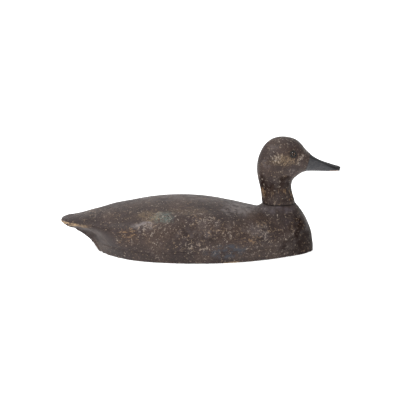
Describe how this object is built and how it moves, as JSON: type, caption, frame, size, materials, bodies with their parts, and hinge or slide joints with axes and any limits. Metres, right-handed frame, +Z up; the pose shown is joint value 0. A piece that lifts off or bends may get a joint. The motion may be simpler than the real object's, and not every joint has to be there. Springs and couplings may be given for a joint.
{
  "type": "floating duck decoy",
  "caption": "Hollow carved duck with a flat weighted bottom, a head that turns on a neck bolt, glass eyes and a ring for an anchor line.",
  "frame": {"origin": "centre of the whole decoy's box, on the plane of its flat bottom", "axes": "+X forward along the keel line to the bill, +Y to the duck's left, +Z up"},
  "size_m": [0.432, 0.1644, 0.1792],
  "materials": {
    "body_paint": "worn dull brown-black paint over wood",
    "head_paint": "worn dull brown-black paint over wood, slate bill",
    "bottom_paint": "worn dull brown-black paint over wood, scuffed along the edge",
    "dowel_wood": "bare turned wood",
    "bedding": "dried bedding compound",
    "eye_putty": "dried putty, painted",
    "eye_enamel": "brown iris and black pupil painted on the back of the glass",
    "eye_glass": "clear polished glass",
    "eye_wire": "dull iron wire",
    "nail_steel": "rusted iron nails",
    "bolt_steel": "dull zinc-plated steel",
    "staple_steel": "weathered iron wire",
    "ring_brass": "tarnished brass wire",
    "screw_brass": "tarnished brass",
    "lead": "dull grey oxidised lead"
  },
  "bodies": {
    "hull": {"upper_body": "body_paint", "bottom_board": "bottom_paint", "hull_seal": "bedding", "locating_dowels": "dowel_wood", "hull_nails": "nail_steel", "ballast_weight": "lead", "ballast_screws": "screw_brass", "line_tie_staple": "staple_steel", "neck_washer": "bolt_steel"},
    "head": {"head": "head_paint", "neck_bolt": "bolt_steel", "neck_nut": "bolt_steel", "left_eye_putty": "eye_putty", "left_eye_enamel": "eye_enamel", "left_eye_glass": "eye_glass", "left_eye_wire": "eye_wire", "right_eye_putty": "eye_putty", "right_eye_enamel": "eye_enamel", "right_eye_glass": "eye_glass", "right_eye_wire": "eye_wire"},
    "ring": {"line_tie_ring": "ring_brass"}
  },
  "joints": [
    {"name": "head_turn", "type": "hinge", "parent": "hull", "child": "head", "pos_m": [0.123, 0, 0.076], "axis": [0, 0, 1], "range_deg": [-90, 90]},
    {"name": "ring_swing", "type": "hinge", "parent": "hull", "child": "ring", "pos_m": [0.082, 0, 0.0049], "axis": [0, -1, 0], "range_deg": [-18, 174]}
  ]
}
